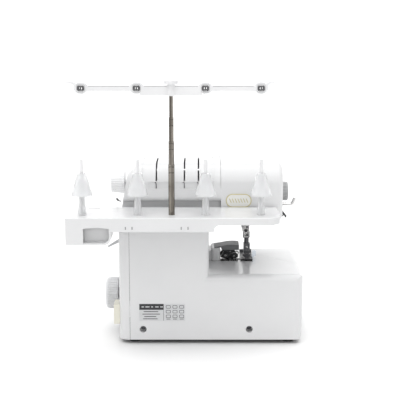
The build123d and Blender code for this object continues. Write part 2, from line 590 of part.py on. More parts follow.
SOLE_Z = BED_TOP + 0.7
with BuildPart() as presser_bar:
    rod_z(NEEDLE_X, PRESSER_Y, 126, 262, 3.5)
    block(NEEDLE_X - 6, NEEDLE_X + 6, PRESSER_Y - 5, PRESSER_Y + 5, 218, 225)
save(presser_bar, "presser_bar")

with BuildPart() as presser_spring:
    rod_z(NEEDLE_X, PRESSER_Y, 225.2, 237.5, 5.2)
    rod_z(NEEDLE_X, PRESSER_Y, 220, 240, 3.9, mode=Mode.SUBTRACT)
save(presser_spring, "presser_spring")

with BuildPart() as presser_foot:
    # sole with turned-up toe, cut for the needles, under a pinned ankle
    with BuildSketch(at_x(NEEDLE_X - 10)):
        with BuildLine():
            Polyline((-78, SOLE_Z + 5), (-73, SOLE_Z + 0.8), (-70, SOLE_Z), (-26, SOLE_Z), (-25, SOLE_Z + 1),
                     (-25, SOLE_Z + 2.2), (-71, SOLE_Z + 2.2), (-77, SOLE_Z + 6.4), close=True)
        make_face()
    extrude(amount=20)
    block(NEEDLE_X - 5.5, NEEDLE_X + 5.5, -56, -43, SOLE_Z - 1, SOLE_Z + 4, mode=Mode.SUBTRACT)
    for side in (-1, 1):
        block(NEEDLE_X + side * 5.2 - 1, NEEDLE_X + side * 5.2 + 1, -38, -27, SOLE_Z + 2, SOLE_Z + 10)
    rod_x(NEEDLE_X - 6.2, NEEDLE_X + 6.2, -33, SOLE_Z + 7, 1.4)
    block(NEEDLE_X - 4.1, NEEDLE_X + 4.1, -37.5, -26.5, SOLE_Z + 3.4, SOLE_Z + 13)
    block(NEEDLE_X - 5.2, NEEDLE_X + 5.2, -38, -26, SOLE_Z + 12, SOLE_Z + 28)
    rod_z(NEEDLE_X, PRESSER_Y, 126, 142, 3.5, mode=Mode.SUBTRACT)
save(presser_foot, "presser_foot")

with BuildPart() as needle_guard:
    # small clear plate beside the foot
    block(-111, -105, -51, -49, SOLE_Z + 1.3, SOLE_Z + 11)
    fillet(edges().filter_by(Axis.Y), 1.5)
    block(-108, NEEDLE_X - 10, -51, -49, SOLE_Z, SOLE_Z + 6)
save(needle_guard, "needle_guard")

with BuildPart() as presser_lifter:
    # steel rod through the head's end, bent back on itself outside
    with BuildLine() as path:
        FilletPolyline((-104, -20, 209), (-168, -20, 209), (-172, -20, 219), radius=5)
    with BuildSketch(Plane((-104, -20, 209), x_dir=(0, 1, 0), z_dir=(-1, 0, 0))):
        Circle(2.4)
    sweep()
    block(-102.9, -99, -27, -17, 205, 213)
    rod_x(-104.5, -99, -20, 209, 2.4)
save(presser_lifter, "presser_lifter")

with BuildPart() as pressure_dial:
    rod_x(-162, -150, -40, 227, 15.5)
    fillet(edges().filter_by(GeomType.CIRCLE).group_by(Axis.X)[0], 2)
    rod_x(-150, -136, -40, 227, 5)
    with Locations(Location((-158.5, -40, 227), (0, 90, 0))):
        with PolarLocations(16.6, 28):
            Cylinder(1.6, 8, align=(Align.CENTER, Align.CENTER, Align.MIN), mode=Mode.SUBTRACT)
save(pressure_dial, "pressure_dial")

with BuildPart() as thread_cutter:
    # hooked blade holder under the head's outer end
    with BuildSketch(at_y(-4)):
        Polygon((HEAD_END, 204), (-150.5, 202), (-158, 192), (-156, 189), (-153.5, 193.5), (-150, 190.5),
                (HEAD_END + 3.7, 196), align=None)
    extrude(amount=3)
save(thread_cutter, "thread_cutter")

FEED_X = (-99.0, -90.0, -82.0)
with BuildPart() as needle_plate:
    block(WINDOW_LEFT + 0.4, WINDOW_RIGHT, WINDOW_FRONT, WINDOW_REAR - 0.4, BED_TOP - 2.1, BED_TOP)
    fillet(edges().filter_by(Axis.Z), 2)
    block(NEEDLE_X - 5, NEEDLE_X + 5, NEEDLE_Y - 2.5, NEEDLE_Y + 2.5, BED_TOP - 6, BED_TOP + 4,
          mode=Mode.SUBTRACT)
    for x in FEED_X:
        block(x - 2.2, x + 2.2, -42, -26, BED_TOP - 6, BED_TOP + 4, mode=Mode.SUBTRACT)
    block(-77.5, -57, -68, -40, BED_TOP - 6, BED_TOP + 4, mode=Mode.SUBTRACT)
save(needle_plate, "needle_plate")

with BuildPart() as feed_dogs:
    for x in FEED_X:
        block(x - 1.6, x + 1.6, -41, -27, 92, BED_TOP - 0.8)
        for k in range(7):
            block(x - 1.8, x + 1.8, -40.4 + 2 * k, -39.6 + 2 * k, BED_TOP - 1.6, BED_TOP - 1.2, mode=Mode.SUBTRACT)
    block(-101, -79, -41, -27, 86, 93)
    block(-94, -84, -38, -30, 74, 87)
save(feed_dogs, "feed_dogs")

with BuildPart() as lower_knife:
    block(-76.5, -73.5, -64, -48, 88, BED_TOP - 0.2)
    block(-76.5, -70, -66, -57, 84, 92)
save(lower_knife, "lower_knife")

with BuildPart() as upper_knife:
    # blade on an arm that reaches over the plate from the knife drive
    with BuildSketch(at_x(-73.2)):
        Polygon((-62, 113), (-50, 111), (-50, 128), (-62, 128), align=None)
    extrude(amount=2.4)
    block(-72, -60, -60, -50, 118, 128)
    block(-66, -60, -60, -50, 96, 128)
    with BuildSketch(at_x(-66)):
        Polygon((-60, 70), (-50, 70), (-50, 97), (-60, 97), align=None)
    extrude(amount=6)
save(upper_knife, "upper_knife")

with BuildPart() as knife_hood:
    # curved guard over the upper knife arm, drawn out to a tail beside the column
    with BuildSketch(at_y(-32)):
        with BuildLine():
            Polyline((-82, 128.6), (-82, 136.8))
            ThreePointArc((-82, 136.8), (-70, 137.8), (-58, 136.4))
            ThreePointArc((-58, 136.4), (-48, 134.6), (-40.5, 133.6))
            Polyline((-40.5, 133.6), (-40.5, BED_TOP + 20.5), (-52, BED_TOP + 20.5), (-54, 128.6), (-82, 128.6))
        make_face()
    extrude(amount=30)
    fillet(edges().filter_by(Axis.Z), 1.5)
save(knife_hood, "knife_hood")

with BuildPart() as lower_looper:
    # reaches round behind the needles from a shaft at the bed's free end
    rod_y(-126, -84, -44.5, 52, 3.5)
    with BuildSketch(at_y(-44.5)):
        with BuildLine():
            Polyline((-130, 50), (-124, 84))
            ThreePointArc((-124, 84), (-118, 93), (-110, 96.5))
            Polyline((-110, 96.5), (-101, 98), (-110, 94), (-116, 88), (-120, 80), (-122, 50), (-130, 50))
        make_face()
    extrude(amount=2.5)
    rod_y(-126, -84, -78, 52, 6.5)
save(lower_looper, "lower_looper")

with BuildPart() as upper_looper:
    # rises in front of the knives from a shaft under the needle plate
    rod_y(-52, -92, -50, 44, 3.5)
    with BuildSketch(at_y(-68.5)):
        with BuildLine():
            Polyline((-56, 42), (-58, 74))
            ThreePointArc((-58, 74), (-63, 87), (-72, 94))
            Polyline((-72, 94), (-82, 99), (-68, 95), (-58, 88), (-51, 76), (-48, 42), (-56, 42))
        make_face()
    extrude(amount=2.5)
    rod_y(-52, -92, -86, 44, 6.5)
save(upper_looper, "upper_looper")

# ---------------------------------------------------------------- controls
with BuildPart() as tension_axle:
    rod_x(-34, 66, DIAL_Y, DIAL_Z, 3)
    for x in (-31, 63):
        with BuildSketch(at_x(x - 1.5)):
            Polygon((DIAL_Y - 6, DIAL_Z - 6), (DIAL_Y - 6, DIAL_Z + 6), (-60, DIAL_Z + 6), (-52, 232), (-52, 214),
                    align=None)
        extrude(amount=3)
save(tension_axle, "tension_axle")

for number, x in enumerate(SLOT_X, 1):
    with BuildPart() as tension_dial:
        rod_x(x - DIAL_WIDTH / 2, x + DIAL_WIDTH / 2, DIAL_Y, DIAL_Z, DIAL_RADIUS)
        fillet(edges().filter_by(GeomType.CIRCLE), 1.2)
        rod_x(x - DIAL_WIDTH, x + DIAL_WIDTH, DIAL_Y, DIAL_Z, 3 + FIT, mode=Mode.SUBTRACT)
        with Locations(Location((x - DIAL_WIDTH / 2, DIAL_Y, DIAL_Z), (0, 90, 0))):
            with PolarLocations(DIAL_RADIUS + 0.8, 36):
                Cylinder(1.2, DIAL_WIDTH, align=(Align.CENTER, Align.CENTER, Align.MIN), mode=Mode.SUBTRACT)
    save(tension_dial, f"tension_dial_{number}")

SELECTOR_Y, SELECTOR_Z = -56.0, 240.0
with BuildPart() as stitch_selector:
    with Locations(Location((108, SELECTOR_Y, SELECTOR_Z), (0, 90, 0))):
        Cone(19.5, 17.5, 23, align=(Align.CENTER, Align.CENTER, Align.MIN))
    fillet(faces().sort_by(Axis.X)[-1].edges(), 2.5)
    rod_x(88, 110, SELECTOR_Y, SELECTOR_Z, 4)
save(stitch_selector, "stitch_selector")

with BuildPart() as threading_lever:
    # thin finger lever through the belt cover's slot, on a pin along Y inside
    with BuildSketch(at_y(31.7)):
        with BuildLine():
            Polyline((99, 163.5), (103, 166), (112, 162.5), (131, 150.2), (129.6, 148), (111, 157), (99, 158))
            Line((99, 158), (99, 163.5))
        make_face()
    extrude(amount=2.4)
    rod_y(101, 27, 35, 161, 3.5)
    rod_y(101, 23.5, 38.5, 161, 2)
save(threading_lever, "threading_lever")

with BuildPart() as power_inlet:
    # one housing with the switch above a three-pin inlet
    block(98, 120, 30, 60, 29, 61.5)
    fillet(edges().filter_by(Axis.X), 2)
    block(108, 121, 34, 56, 31.5, 44.5, mode=Mode.SUBTRACT)
    block(108, 121, 36, 54, 47, 59, mode=Mode.SUBTRACT)
    for y in (38.5, 45, 51.5):
        rod_x(107, 117, y, 38, 1.3)
    rod_y(113.5, 33.8, 56.2, 53, 1.5 + FIT, mode=Mode.SUBTRACT)
save(power_inlet, "power_inlet")

with BuildPart() as power_switch:
    # rocker on a pin along Y
    with BuildSketch(at_y(53.2)):
        Polygon((112, 48.5), (120.6, 48.5), (119.2, 53), (121.4, 57.3), (112, 57.3), align=None)
    extrude(amount=16.4)
    rod_y(113.5, 34.2, 55.8, 53, 1.5)
save(power_switch, "power_switch")

# ---------------------------------------------------------------- spool stand
def tray_plan(inset):
    """Rounded outline of the spool tray."""
    with Locations(((TRAY_LEFT + TRAY_RIGHT) / 2, (TRAY_REAR + TRAY_FRONT) / 2)):
        outline = Rectangle(TRAY_LEFT - TRAY_RIGHT - 2 * inset, TRAY_REAR - TRAY_FRONT - 2 * inset)
    corners = outline.vertices()
    fillet(corners.sort_by_distance(Vertex(TRAY_RIGHT, TRAY_REAR, 0))[0], 20 - inset)
    fillet(corners.sort_by_distance(Vertex(TRAY_LEFT, TRAY_REAR, 0))[0], 8 - inset)


with BuildPart() as tray_hollow:
    with BuildSketch(Plane.XY.offset(POCKET_FLOOR - 5)):
        tray_plan(WALL)
    extrude(amount=TRAY_TOP - WALL - POCKET_FLOOR + 5)
    block(POCKET_RIGHT, TRAY_LEFT + 1, TRAY_FRONT - 1, TRAY_REAR + 1, 160, TRAY_TOP + 1, mode=Mode.SUBTRACT)

with BuildPart() as pocket_hollow:
    with BuildSketch(at_y(TRAY_REAR - WALL)):
        with Locations(((POCKET_RIGHT + TRAY_LEFT) / 2, (POCKET_FLOOR + TRAY_TOP) / 2)):
            Rectangle(TRAY_LEFT - POCKET_RIGHT - 2 * WALL, TRAY_TOP - POCKET_FLOOR - 2 * WALL)
        fillet(vertices().sort_by_distance(Vertex(POCKET_RIGHT, POCKET_FLOOR, 0))[0], 8)
    extrude(amount=TRAY_REAR - TRAY_FRONT - 2 * WALL)
    # the pocket ends at an inner wall, and the hollow in front of that wall is open below
    block(POCKET_RIGHT, TRAY_LEFT, POCKET_END, POCKET_END + WALL, 160, TRAY_TOP, mode=Mode.SUBTRACT)
    block(POCKET_RIGHT + 10, TRAY_LEFT - 10, TRAY_FRONT + 8, POCKET_END - 4, POCKET_FLOOR - 4, POCKET_FLOOR + 6)
    with BuildSketch(at_y(TRAY_REAR + 1)):
        with BuildLine():
            Polyline((POCKET_RIGHT + WALL, 199.5), (POCKET_RIGHT + WALL, 187))
            ThreePointArc((POCKET_RIGHT + WALL, 187), (122, 180.3), (129, POCKET_FLOOR + WALL))
            Polyline((129, POCKET_FLOOR + WALL), (158, POCKET_FLOOR + WALL), (158, 199.5))
            ThreePointArc((158, 199.5), (138.5, 201.5), (POCKET_RIGHT + WALL, 199.5))
        make_face()
    extrude(amount=6)

with BuildPart() as spool_tray:
    # shallow tray with a hanging skirt, deeper over the column, and a deep pocket at its +X end
    with BuildSketch(Plane.XY.offset(POCKET_FLOOR)):
        tray_plan(0)
    extrude(amount=TRAY_TOP - POCKET_FLOOR)
    with BuildSketch(at_y(TRAY_REAR + 5)):
        with BuildLine():
            Polyline((TRAY_RIGHT - 5, POCKET_FLOOR - 5), (TRAY_RIGHT - 5, TRAY_THIN), (-47, TRAY_THIN))
            ThreePointArc((-47, TRAY_THIN), (-40.6, TRAY_THIN - 2.6), (-38, TRAY_SKIRT))
            Polyline((-38, TRAY_SKIRT), (POCKET_RIGHT, TRAY_SKIRT), (POCKET_RIGHT, POCKET_FLOOR + 10))
            ThreePointArc((POCKET_RIGHT, POCKET_FLOOR + 10), (POCKET_RIGHT + 3, POCKET_FLOOR + 3),
                          (POCKET_RIGHT + 10, POCKET_FLOOR))
            Polyline((POCKET_RIGHT + 10, POCKET_FLOOR), (POCKET_RIGHT + 10, POCKET_FLOOR - 5),
                     (TRAY_RIGHT - 5, POCKET_FLOOR - 5))
        make_face()
    extrude(amount=TRAY_REAR - TRAY_FRONT + 10, mode=Mode.SUBTRACT)
    top_face = faces().filter_by(Axis.Z).sort_by(Axis.Z)[-1]
    fillet(top_face.edges(), 1.2)
    add(tray_hollow.part, mode=Mode.SUBTRACT)
    add(pocket_hollow.part, mode=Mode.SUBTRACT)
    # the column passes up inside the front of the skirt, and ribs rest on its step
    block(COLUMN_LEFT - 0.6, BODY_RIGHT + 0.6, TRAY_FRONT - 1, BODY_REAR + 0.6, 170, TRAY_TOP - WALL,
          mode=Mode.SUBTRACT)
    for x in (-20, 20, 60, 100):
        block(x - 1.2, x + 1.2, 46, 66, LEDGE_TOP, TRAY_TOP - WALL)
    # bosses for the pins and the pole
    for x in SPOOL_X:
        rod_z(x, STAND_Y, 206, TRAY_TOP - 1, 6)
        rod_z(x, STAND_Y, 200, TRAY_TOP + 1, PIN_RADIUS, mode=Mode.SUBTRACT)
    rod_z(POLE_X, STAND_Y, TRAY_SKIRT, TRAY_TOP - 1, 9)
    rod_z(POLE_X, STAND_Y, TRAY_SKIRT - 1, TRAY_TOP + 1, POLE_RADII[0], mode=Mode.SUBTRACT)
    # slot for a thread guide, and latch slits in the rear skirt
    block(139, 157, 52, 55.5, TRAY_TOP - WALL - 1, TRAY_TOP + 1, mode=Mode.SUBTRACT)
    for x in (94.4, 84.5, 11.1, 0.9):
        block(x - 0.9, x + 0.9, TRAY_REAR - 3, TRAY_REAR + 1, 198.5, 203, mode=Mode.SUBTRACT)
save(spool_tray, "spool_tray")

with BuildPart() as spool_pins:
    # each pin is relieved where the cone holder sits, and full size above it for the spool
    for x in SPOOL_X:
        rod_z(x, STAND_Y, 206, TRAY_TOP, PIN_RADIUS)
        rod_z(x, STAND_Y, TRAY_TOP, PIN_STEP, PIN_RADIUS - 0.2)
        rod_z(x, STAND_Y, PIN_STEP, PIN_TOP, PIN_RADIUS)
    chamfer(edges().group_by(Axis.Z)[-1], 0.8)
save(spool_pins, "spool_pins")

for number, x in enumerate(SPOOL_X, 1):
    with BuildPart() as cone_holder:
        # hollow cone on a stem that flares to a foot
        with BuildSketch(at_y(STAND_Y)):
            with BuildLine():
                Polyline((x + 2.56, TRAY_TOP + 0.1), (x + 6.2, TRAY_TOP + 0.1), (x + 6.0, TRAY_TOP + 2.5),
                         (x + 4.1, 246), (x + 4.1, 268), (x + 14.6, 246), (x + 15.6, 246), (x + 15.4, 249),
                         (x + 6.9, 278), (x + 5.6, 280), (x + 2.56, 280), close=True)
            make_face()
        revolve(axis=Axis((x, STAND_Y, 0), (0, 0, 1)))
    save(cone_holder, f"cone_holder_{number}")

TUBE_BOTTOMS = [TRAY_SKIRT, 248.0, 283.0, 319.0]
for number in range(4):
    with BuildPart() as pole_tube:
        rod_z(POLE_X, STAND_Y, TUBE_BOTTOMS[number], POLE_TOPS[number], POLE_RADII[number])
        rod_z(POLE_X, STAND_Y, 180, 420, POLE_RADII[number] - POLE_WALL, mode=Mode.SUBTRACT)
    save(pole_tube, f"pole_tube_{number + 1}")

GUIDE_X = [POLE_X + s for s in (-133.5, -51.0, 51.0, 133.5)]
BAR_TOP = 411.2
COLLAR_TOP = 418.5
BAR_TIPS = (-131.0, 185.0)
with BuildPart() as guide_bar:
    # flat cross bar, deeper in the middle, with oval pads and hooked tips
    with BuildSketch(at_y(STAND_Y + 2.5)):
        with Locations((POLE_X, BAR_TOP - 4)):
            Rectangle(2 * 133.5, 8)
        with Locations((POLE_X, BAR_TOP - 7.2)):
            Rectangle(92, 14.4)
        for x in GUIDE_X:
            with Locations((x, BAR_Z)):
                Ellipse(11, 8.6)
        for x, tip, side in ((GUIDE_X[0], BAR_TIPS[0], -1), (GUIDE_X[3], BAR_TIPS[1], 1)):
            with BuildLine():
                Polyline((x + side * 5, BAR_Z + 6), (x + side * 12, BAR_Z + 9.2), (tip - side * 6, BAR_Z + 9.8),
                         (tip, BAR_Z + 8.8), (tip - side * 6, BAR_Z + 7.4), (x + side * 13, BAR_Z + 6.2),
                         (x + side * 9, BAR_Z + 2), close=True)
            make_face()
    extrude(amount=5)
    rod_z(POLE_X, STAND_Y, 396, COLLAR_TOP - 4, 5.6)
    rod_z(POLE_X, STAND_Y, COLLAR_TOP - 5, COLLAR_TOP, 10.5)
    rod_z(POLE_X, STAND_Y, 390, POLE_TOPS[3] + 0.5, POLE_RADII[3] + FIT, mode=Mode.SUBTRACT)
    for x in GUIDE_X:
        rod_y(x, STAND_Y - 5, STAND_Y + 5, BAR_Z, 4, mode=Mode.SUBTRACT)
save(guide_bar, "guide_bar")

with BuildPart() as guide_clips:
    # square snap-in thread guides, one in each pad
    with BuildSketch(at_y(STAND_Y + 2.5 + 2.4)):
        for x in GUIDE_X:
            with Locations((x, BAR_Z)):
                RectangleRounded(12.8, 12.8, 2.5)
    extrude(amount=2.4)
    for x in GUIDE_X:
        rod_y(x, STAND_Y - 2.5, STAND_Y + 2.6, BAR_Z, 4)
        rod_y(x, STAND_Y - 4, STAND_Y + 6, BAR_Z, 3.2, mode=Mode.SUBTRACT)
save(guide_clips, "guide_clips")

with BuildPart() as cover_screws:
    for x in SCREW_X:
        rod_y(x, 58.5, 61.0, SCREW_Z, 3.6)
        rod_y(x, 46, 58.5, SCREW_Z, 1.6)
save(cover_screws, "cover_screws")
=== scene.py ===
import math
import bpy
import bmesh
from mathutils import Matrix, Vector


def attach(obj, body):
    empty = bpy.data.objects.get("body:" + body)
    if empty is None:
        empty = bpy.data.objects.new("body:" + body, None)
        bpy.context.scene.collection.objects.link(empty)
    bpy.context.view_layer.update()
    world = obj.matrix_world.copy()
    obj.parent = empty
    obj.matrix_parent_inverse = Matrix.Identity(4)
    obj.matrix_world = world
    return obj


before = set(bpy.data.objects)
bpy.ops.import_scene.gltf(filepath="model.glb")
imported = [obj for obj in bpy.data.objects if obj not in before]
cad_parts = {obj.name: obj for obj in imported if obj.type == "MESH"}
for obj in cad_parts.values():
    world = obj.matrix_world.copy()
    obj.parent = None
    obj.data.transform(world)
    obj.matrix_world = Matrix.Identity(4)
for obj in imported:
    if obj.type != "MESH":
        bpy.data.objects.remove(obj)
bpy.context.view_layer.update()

# ---------------------------------------------------------------- driving places, in millimetres
MM = 0.001
REAR_FACE = 71.0        # outside of the rear cover, where the rating plate lies
HEAD_FACE = 41.0        # rear face of the head and arm covers
BAR_FACE = 106.5        # rear face of the guide bar
CLIP_FACE = 108.9       # rear face of the square clips in the guide bar
BAR_TOP = 411.2         # top edge of the guide bar
EYE_Z = 407.5           # height of the thread eyelets
POLE_X = 26.0           # telescope pole
EYE_X = [POLE_X + s for s in (-133.5, -51.0, 51.0, 133.5)]     # the four eyelets
TUBE_TOPS = (293.0, 328.0, 364.0, 411.0)    # upper ends of the telescope's four tubes
KNIFE_FLOOR = 113.2     # underside of the knife castings
FOOT_X = -94.5          # centre line of the presser foot
FOOT_Y = -26.0          # rear face of its ankle
FOOT_Z = 112.7          # underside of its sole
FIRST_SLOT_X = -14.55   # thread slots over the arm, and the step from one to the next
SLOT_PITCH = 22.1

# ---------------------------------------------------------------- shader detail, in metres or per metre
GRAIN_DEPTH = 0.0003    # height of the fine surface grain
RING_DEPTH = 0.0005     # depth of the rings pressed into the telescope
WEAR_BREAKS = 420.0     # scale of the patches that break up edge wear
SPECK_SCALE = 420.0     # scale of the moulding specks
SMUDGE_RATIO = 2.7      # smudges are this much finer than the colour mottling
SHARP_EDGE = 0.6        # radians; a sharper edge is shaded as a crease


class Nodes:
    """A node tree, with short ways to add the nodes used here."""

    def __init__(self, tree, coordinates):
        self.tree = tree
        self.position = self.add("ShaderNodeTexCoord").outputs[coordinates]

    def add(self, kind, ins=(), **props):
        n = self.tree.nodes.new(kind)
        for k, v in props.items():
            setattr(n, k, v)
        for k, v in dict(ins).items():
            self.put(n.inputs[k], v)
        return n

    def put(self, socket, v):
        if isinstance(v, bpy.types.NodeSocket):
            self.tree.links.new(v, socket)
        else:
            socket.default_value = v

    def math(self, op, a, b=0.0, clamp=False):
        return self.add("ShaderNodeMath", {0: a, 1: b}, operation=op, use_clamp=clamp).outputs[0]

    def remap(self, v, a, b, c=0.0, d=1.0):
        """Maps the range a to b onto c to d, and holds the ends."""
        return self.add("ShaderNodeMapRange", {"Value": v, "From Min": a, "From Max": b,
                                               "To Min": c, "To Max": d}).outputs[0]

    def xyz(self):
        return self.add("ShaderNodeSeparateXYZ", {0: self.position}).outputs


class Tree(Nodes):
    """A material's node tree, in the object's own coordinates."""

    def __init__(self, name):
        self.material = bpy.data.materials.new(name)
        self.material.use_nodes = True
        super().__init__(self.material.node_tree, "Object")
        self.shader = self.tree.nodes["Principled BSDF"]

    def noise(self, scale, detail=3.0, rough=0.55, stretch=None):
        v = self.position
        if stretch:
            v = self.add("ShaderNodeMapping", {"Vector": v, "Scale": stretch}).outputs[0]
        return self.add("ShaderNodeTexNoise", {"Vector": v, "Scale": scale, "Detail": detail,
                                               "Roughness": rough}).outputs[0]

    def mix(self, f, a, b):
        n = self.add("ShaderNodeMix", data_type="RGBA")
        for i, v in ((0, f), (6, a), (7, b)):
            self.put(n.inputs[i], v)
        return n.outputs[2]

    def bump(self, height, strength, distance, normal=None):
        ins = {"Height": height, "Strength": strength, "Distance": distance}
        if normal is not None:
            ins["Normal"] = normal
        return self.add("ShaderNodeBump", ins).outputs[0]

    def edges(self, radius):
        """How near a worn outer edge a point is, 0 to 1."""
        soft = self.add("ShaderNodeBevel", {"Radius": radius}, samples=4).outputs[0]
        hard = self.add("ShaderNodeNewGeometry").outputs["Normal"]
        d = self.add("ShaderNodeVectorMath", {0: soft, 1: hard}, operation="DOT_PRODUCT")
        return self.remap(d.outputs["Value"], 0.995, 0.86)


def opaque(c):
    return (c[0], c[1], c[2], 1.0)


def finish_of(name, base, tone, rough, mottle=60.0, grain=1500.0, grain_str=0.06, metal=0.0,
              wear=None, wear_r=0.0006, stretch=None, extra=None, **sockets):
    """A procedural finish: slow colour mottling, fine surface grain, roughness that wanders,
    and edges rubbed to another tone."""
    t = Tree(name)
    slow = t.remap(t.noise(mottle, 4.0), 0.32, 0.68)
    colour = t.mix(slow, opaque(base), opaque(tone))
    fine = t.noise(grain, 3.0, 0.6, stretch)
    smudge = t.noise(mottle * SMUDGE_RATIO, 5.0, 0.65)
    r = t.remap(smudge, 0.3, 0.7, rough[0], rough[1])
    if wear is not None:
        patches = t.remap(t.noise(WEAR_BREAKS, 4.0), 0.38, 0.62)
        worn = t.math("MULTIPLY", t.edges(wear_r), patches, True)
        colour = t.mix(worn, colour, opaque(wear))
        r = t.math("ADD", r, t.math("MULTIPLY", worn, 0.08))
    normal = t.bump(fine, grain_str, GRAIN_DEPTH)
    if extra is not None:
        colour, r, normal = extra(t, colour, r, normal)
    t.put(t.shader.inputs["Base Color"], colour)
    t.put(t.shader.inputs["Roughness"], r)
    t.put(t.shader.inputs["Normal"], normal)
    t.shader.inputs["Metallic"].default_value = metal
    for k, v in sockets.items():
        t.shader.inputs[k.replace("_", " ")].default_value = v
    return t.material


def specks(amount, tone):
    """Tiny moulding specks in the plastic."""
    def f(t, colour, r, normal):
        cells = t.add("ShaderNodeTexVoronoi", {"Vector": t.position, "Scale": SPECK_SCALE}, feature="F1")
        dot = t.math("MULTIPLY", t.remap(cells.outputs[0], 0.10, 0.05), amount)
        return t.mix(dot, colour, opaque(tone)), r, normal
    return f


def tube_painted_streaks_and_ring_shade(tops):
    """Lengthwise dark streaks painted as reflections, and two pressed-in rings near the top of each section,
    darkened with painted shade.
    """
    def f(t, colour, r, normal):
        z = t.xyz()[2]
        ring = None
        for top in tops:
            for drop in (3.2, 12.0):
                d = t.math("ABSOLUTE", t.math("SUBTRACT", z, (top - drop) * MM))
                one = t.remap(d, 0.9 * MM, 0.25 * MM)
                ring = one if ring is None else t.math("MAXIMUM", ring, one)
        # Lengthwise dark streaks: painted reflections along the polished tube.
        streak = t.remap(t.noise(430.0, 2.0, 0.5, (1, 1, 0.012)), 0.38, 0.53)
        colour = t.mix(t.math("MULTIPLY", streak, 0.85), colour, (0.07, 0.062, 0.054, 1))
        # Each pressed ring is also darkened: painted shade in its groove.
        colour = t.mix(t.math("MULTIPLY", ring, 0.62), colour, (0.06, 0.055, 0.05, 1))
        normal = t.bump(t.math("MULTIPLY", ring, -1.0), 0.9, RING_DEPTH, normal)
        return colour, r, normal
    return f


def ribs(centre, count, depth, hub, groove_shade_by=0.22):
    """Grip ribs round a knob that turns on a left-right axis through (y, z); none inside the hub. The grooves
    between the ribs are darkened with painted shade.
    """
    def f(t, colour, r, normal):
        _, y, z = t.xyz()
        u = t.math("SUBTRACT", y, centre[0] * MM)
        v = t.math("SUBTRACT", z, centre[1] * MM)
        w = t.math("SINE", t.math("MULTIPLY", t.math("ARCTAN2", u, v), float(count)))
        squares = t.math("ADD", t.math("MULTIPLY", u, u), t.math("MULTIPLY", v, v))
        on = t.remap(t.math("POWER", squares, 0.5), hub * MM, (hub + 0.6) * MM)
        w = t.math("MULTIPLY", t.remap(w, -0.6, 0.6), on)
        # The grooves between the ribs are darkened toward near-black: painted shade.
        dark = t.math("MULTIPLY", t.math("SUBTRACT", 1.0, w), t.math("MULTIPLY", on, groove_shade_by))
        colour = t.mix(dark, colour, (0.05, 0.05, 0.05, 1))
        return colour, r, t.bump(w, 0.8, depth * MM, normal)
    return f


# ---------------------------------------------------------------- materials of the CAD's slots
MAT = {
    "white_gloss": finish_of("Moulded_gloss_white", (0.70, 0.702, 0.706), (0.675, 0.678, 0.684),
                             (0.13, 0.24), 14.0, 1100.0, 0.035, wear=(0.86, 0.86, 0.86),
                             extra=specks(0.10, (0.55, 0.55, 0.56))),
    "white_satin": finish_of("Moulded_satin_white", (0.79, 0.79, 0.795), (0.755, 0.757, 0.765),
                             (0.30, 0.46), 22.0, 1500.0, 0.10, wear=(0.88, 0.88, 0.88),
                             extra=specks(0.10, (0.6, 0.6, 0.61))),
    "clear_white": finish_of("Translucent_natural_plastic", (0.95, 0.955, 0.96), (0.91, 0.915, 0.925),
                             (0.16, 0.26), 30.0, 900.0, 0.02, Transmission_Weight=0.52, IOR=1.25),
    "clear_blue": finish_of("Clear_blue_guard", (0.93, 0.965, 1.0), (0.88, 0.94, 1.0),
                            (0.02, 0.06), 70.0, 900.0, 0.02, wear=(0.10, 0.30, 0.75), wear_r=0.0005,
                            Transmission_Weight=0.95, IOR=1.30),
    "grey_plastic": finish_of("Moulded_mid_grey", (0.33, 0.335, 0.34), (0.28, 0.285, 0.29),
                              (0.34, 0.52), 55.0, 1600.0, 0.16, wear=(0.48, 0.48, 0.48)),
    "light_grey_plastic": finish_of("Moulded_light_grey", (0.56, 0.565, 0.575), (0.51, 0.515, 0.53),
                                    (0.30, 0.48), 50.0, 1600.0, 0.14, wear=(0.68, 0.68, 0.68)),
    "dark_grey_plastic": finish_of("Moulded_dark_grey", (0.17, 0.172, 0.177), (0.125, 0.127, 0.132),
                                   (0.36, 0.55), 60.0, 1700.0, 0.2, wear=(0.2, 0.2, 0.2)),
    "ivory_plastic": finish_of("Moulded_ivory", (0.78, 0.76, 0.67), (0.75, 0.73, 0.63),
                               (0.30, 0.46), 45.0, 1500.0, 0.12, wear=(0.82, 0.80, 0.70)),
    "black_steel": finish_of("Black_powder_coat", (0.030, 0.030, 0.032), (0.018, 0.018, 0.020),
                             (0.42, 0.62), 40.0, 700.0, 0.35, wear=(0.16, 0.155, 0.15)),
    "rubber": finish_of("Rubber_black", (0.035, 0.035, 0.036), (0.022, 0.022, 0.024),
                        (0.70, 0.88), 50.0, 1200.0, 0.35, wear=(0.09, 0.09, 0.09)),
    "cast_aluminium": finish_of("Cast_aluminium", (0.60, 0.60, 0.61), (0.48, 0.48, 0.50),
                                (0.38, 0.60), 45.0, 900.0, 0.45, metal=1.0, wear=(0.8, 0.8, 0.8)),
    "steel": finish_of("Polished_steel", (0.62, 0.615, 0.61), (0.50, 0.495, 0.49), (0.16, 0.32),
                       70.0, 1300.0, 0.10, metal=1.0, wear=(0.8, 0.8, 0.8), stretch=(1, 1, 0.06)),
    "dark_steel": finish_of("Blued_steel", (0.105, 0.105, 0.11), (0.055, 0.055, 0.06), (0.25, 0.45),
                            80.0, 1200.0, 0.16, metal=1.0, wear=(0.45, 0.44, 0.43)),
    "brass": finish_of("Brass", (0.72, 0.55, 0.26), (0.60, 0.43, 0.18), (0.22, 0.42), 70.0, 1200.0,
                       0.12, metal=1.0, wear=(0.85, 0.70, 0.40)),
    "pole_steel": finish_of("Telescope_steel", (0.31, 0.285, 0.25), (0.19, 0.17, 0.148),
                            (0.05, 0.12), 60.0, 1500.0, 0.10, metal=1.0, stretch=(1, 1, 0.02),
                            extra=tube_painted_streaks_and_ring_shade(TUBE_TOPS)),
}

